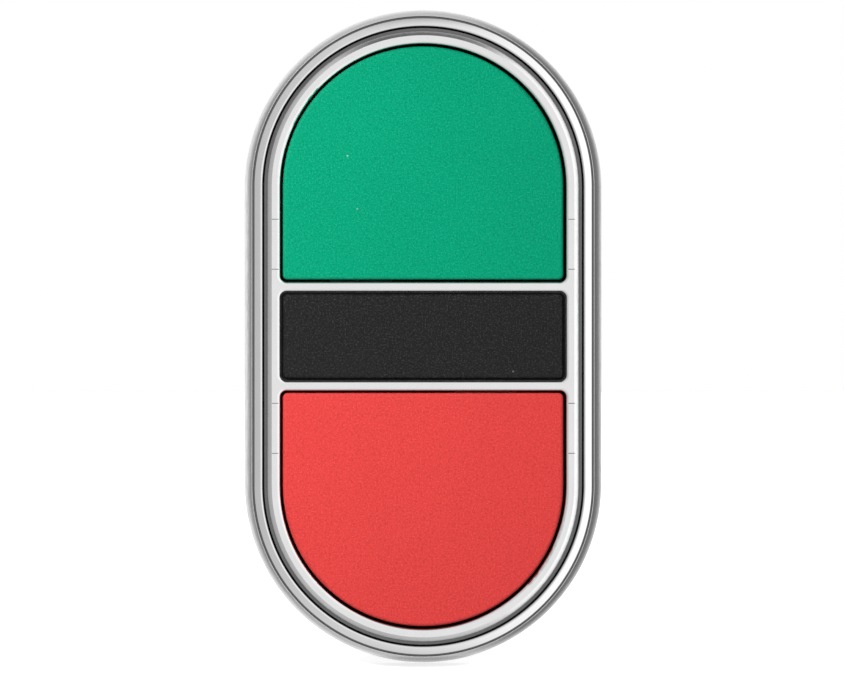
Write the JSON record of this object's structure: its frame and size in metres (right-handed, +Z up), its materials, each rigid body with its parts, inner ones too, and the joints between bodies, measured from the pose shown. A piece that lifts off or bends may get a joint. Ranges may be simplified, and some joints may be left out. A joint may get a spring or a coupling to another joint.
{
  "type": "twin push button",
  "caption": "Stadium-shaped push button pair with start and stop caps, clamped in a round panel hole by a collar that carries make and break contact blocks.",
  "frame": {"origin": "on the spigot's axis, in the plane of the gasket's rear face, which is the panel's front face", "axes": "+Y from the front of the head into the panel, +Z up through the green cap, +X to the right as seen from the front"},
  "size_m": [0.03, 0.0447, 0.0548],
  "materials": {
    "satin_chrome": "satin chrome plate",
    "plated_plastic": "satin chrome plate on moulded plastic",
    "black_plate": "fine textured moulding",
    "body_plastic": "glass-filled moulding",
    "rubber": "matt",
    "spring_steel": "drawn wire",
    "cast_alloy": "die-cast, tumbled",
    "plated_screw": "zinc plated",
    "green_cap": "fine textured moulding",
    "red_cap": "fine textured moulding",
    "natural_plastic": "natural moulding",
    "lever_plastic": "moulded",
    "block_housing": "moulded",
    "block_cover": "moulded",
    "green_plunger": "moulded",
    "red_plunger": "moulded",
    "brass": "stamped strip",
    "silver": "silver alloy"
  },
  "bodies": {
    "root": {"bezel_ring": "satin_chrome", "window_frame": "plated_plastic", "centre_plate": "black_plate", "button_body": "body_plastic", "panel_gasket": "rubber", "leg_seal": "rubber", "green_return_spring": "spring_steel", "red_return_spring": "spring_steel", "mounting_collar": "cast_alloy", "block_carrier": "body_plastic", "carrier_screws": "plated_screw", "left_housing": "block_housing", "left_cover": "block_cover", "left_plunger_spring": "spring_steel", "left_fixed_tips": "silver", "left_terminal_upper": "brass", "left_terminal_lower": "brass", "right_housing": "block_housing", "right_cover": "block_cover", "right_plunger_spring": "spring_steel", "right_fixed_tips": "silver", "right_terminal_upper": "brass", "right_terminal_lower": "brass"},
    "green_button": {"green_cap": "green_cap", "green_pusher": "natural_plastic"},
    "red_button": {"red_cap": "red_cap", "red_pusher": "natural_plastic"},
    "lock_lever": {"lock_lever": "lever_plastic"},
    "clamp_pad_upper": {"clamp_pad_upper": "plated_screw"},
    "clamp_screw_upper": {"clamp_screw_upper": "plated_screw"},
    "clamp_pad_lower": {"clamp_pad_lower": "plated_screw"},
    "clamp_screw_lower": {"clamp_screw_lower": "plated_screw"},
    "left_plunger": {"left_plunger": "green_plunger", "left_contact_spring": "spring_steel"},
    "left_bridge": {"left_bridge": "brass", "left_bridge_tips": "silver"},
    "left_latch": {"left_latch": "lever_plastic"},
    "left_clamp_upper": {"left_clamp_plate_upper": "plated_screw"},
    "left_screw_upper": {"left_terminal_screw_upper": "plated_screw"},
    "left_clamp_lower": {"left_clamp_plate_lower": "plated_screw"},
    "left_screw_lower": {"left_terminal_screw_lower": "plated_screw"},
    "right_plunger": {"right_plunger": "red_plunger", "right_contact_spring": "spring_steel"},
    "right_bridge": {"right_bridge": "brass", "right_bridge_tips": "silver"},
    "right_latch": {"right_latch": "lever_plastic"},
    "right_clamp_upper": {"right_clamp_plate_upper": "plated_screw"},
    "right_screw_upper": {"right_terminal_screw_upper": "plated_screw"},
    "right_clamp_lower": {"right_clamp_plate_lower": "plated_screw"},
    "right_screw_lower": {"right_terminal_screw_lower": "plated_screw"}
  },
  "joints": [
    {"name": "green_button_press", "type": "slide", "parent": "root", "child": "green_button", "axis": [0, 1, 0], "range_m": [0, 0.0036], "stiffness_N_per_m": 800, "springref_m": -0.003, "deforming": ["green_return_spring"]},
    {"name": "red_button_press", "type": "slide", "parent": "root", "child": "red_button", "axis": [0, 1, 0], "range_m": [0, 0.0036], "stiffness_N_per_m": 800, "springref_m": -0.003, "deforming": ["red_return_spring"]},
    {"name": "lock_lever_turn", "type": "hinge", "parent": "root", "child": "lock_lever", "pos_m": [0, 0.0097, 0], "axis": [0, -1, 0], "range_deg": [-40, 0]},
    {"name": "clamp_pad_upper_advance", "type": "slide", "parent": "root", "child": "clamp_pad_upper", "axis": [0, -1, 0], "range_m": [-0.0019, 0.002]},
    {"name": "clamp_screw_upper_turn", "type": "hinge", "parent": "clamp_pad_upper", "child": "clamp_screw_upper", "pos_m": [0.0129, 0.01, 0.012], "axis": [0, -1, 0], "range_deg": [-1368, 1440]},
    {"name": "clamp_pad_lower_advance", "type": "slide", "parent": "root", "child": "clamp_pad_lower", "axis": [0, -1, 0], "range_m": [-0.0019, 0.002]},
    {"name": "clamp_screw_lower_turn", "type": "hinge", "parent": "clamp_pad_lower", "child": "clamp_screw_lower", "pos_m": [-0.0129, 0.01, -0.012], "axis": [0, -1, 0], "range_deg": [-1368, 1440]},
    {"name": "left_plunger_push", "type": "slide", "parent": "root", "child": "left_plunger", "axis": [0, 1, 0], "range_m": [0, 0.00332], "deforming": ["left_plunger_spring"]},
    {"name": "left_bridge_move", "type": "slide", "parent": "root", "child": "left_bridge", "axis": [0, 1, 0], "range_m": [0, 0.00198], "deforming": ["left_contact_spring"]},
    {"name": "left_latch_lift", "type": "hinge", "parent": "root", "child": "left_latch", "pos_m": [-0.0055, 0.0175, 0.0208], "axis": [-1, 0, 0], "range_deg": [0, 10], "stiffness_Nm_per_rad": 0.02},
    {"name": "left_clamp_upper_advance", "type": "slide", "parent": "root", "child": "left_clamp_upper", "axis": [0, -1, 0], "range_m": [0, 0.003]},
    {"name": "left_screw_upper_turn", "type": "hinge", "parent": "left_clamp_upper", "child": "left_screw_upper", "pos_m": [-0.0055, 0.03, 0.0143], "axis": [0, -1, 0], "range_deg": [0, 2160]},
    {"name": "left_clamp_lower_advance", "type": "slide", "parent": "root", "child": "left_clamp_lower", "axis": [0, -1, 0], "range_m": [0, 0.003]},
    {"name": "left_screw_lower_turn", "type": "hinge", "parent": "left_clamp_lower", "child": "left_screw_lower", "pos_m": [-0.0055, 0.03, -0.0143], "axis": [0, -1, 0], "range_deg": [0, 2160]},
    {"name": "right_plunger_push", "type": "slide", "parent": "root", "child": "right_plunger", "axis": [0, 1, 0], "range_m": [0, 0.00332], "deforming": ["right_plunger_spring"]},
    {"name": "right_bridge_move", "type": "slide", "parent": "root", "child": "right_bridge", "axis": [0, 1, 0], "range_m": [0, 0.0021], "deforming": ["right_contact_spring"]},
    {"name": "right_latch_lift", "type": "hinge", "parent": "root", "child": "right_latch", "pos_m": [0.0055, 0.0175, 0.0208], "axis": [-1, 0, 0], "range_deg": [0, 10], "stiffness_Nm_per_rad": 0.02},
    {"name": "right_clamp_upper_advance", "type": "slide", "parent": "root", "child": "right_clamp_upper", "axis": [0, -1, 0], "range_m": [0, 0.003]},
    {"name": "right_screw_upper_turn", "type": "hinge", "parent": "right_clamp_upper", "child": "right_screw_upper", "pos_m": [0.0055, 0.03, 0.0143], "axis": [0, -1, 0], "range_deg": [0, 2160]},
    {"name": "right_clamp_lower_advance", "type": "slide", "parent": "root", "child": "right_clamp_lower", "axis": [0, -1, 0], "range_m": [0, 0.003]},
    {"name": "right_screw_lower_turn", "type": "hinge", "parent": "right_clamp_lower", "child": "right_screw_lower", "pos_m": [0.0055, 0.03, -0.0143], "axis": [0, -1, 0], "range_deg": [0, 2160]}
  ],
  "couplings": [
    {"joint": "clamp_screw_upper_turn", "follows": "clamp_pad_upper_advance", "rad_per_m": 12566},
    {"joint": "clamp_screw_lower_turn", "follows": "clamp_pad_lower_advance", "rad_per_m": 12566},
    {"joint": "left_plunger_push", "follows": "green_button_press", "ratio": 0.92221},
    {"joint": "left_bridge_move", "follows": "green_button_press", "ratio": 0.54999},
    {"joint": "left_screw_upper_turn", "follows": "left_clamp_upper_advance", "rad_per_m": 12566},
    {"joint": "left_screw_lower_turn", "follows": "left_clamp_lower_advance", "rad_per_m": 12566},
    {"joint": "right_plunger_push", "follows": "red_button_press", "ratio": 0.92221},
    {"joint": "right_bridge_move", "follows": "red_button_press", "ratio": 0.58332},
    {"joint": "right_screw_upper_turn", "follows": "right_clamp_upper_advance", "rad_per_m": 12566},
    {"joint": "right_screw_lower_turn", "follows": "right_clamp_lower_advance", "rad_per_m": 12566}
  ]
}
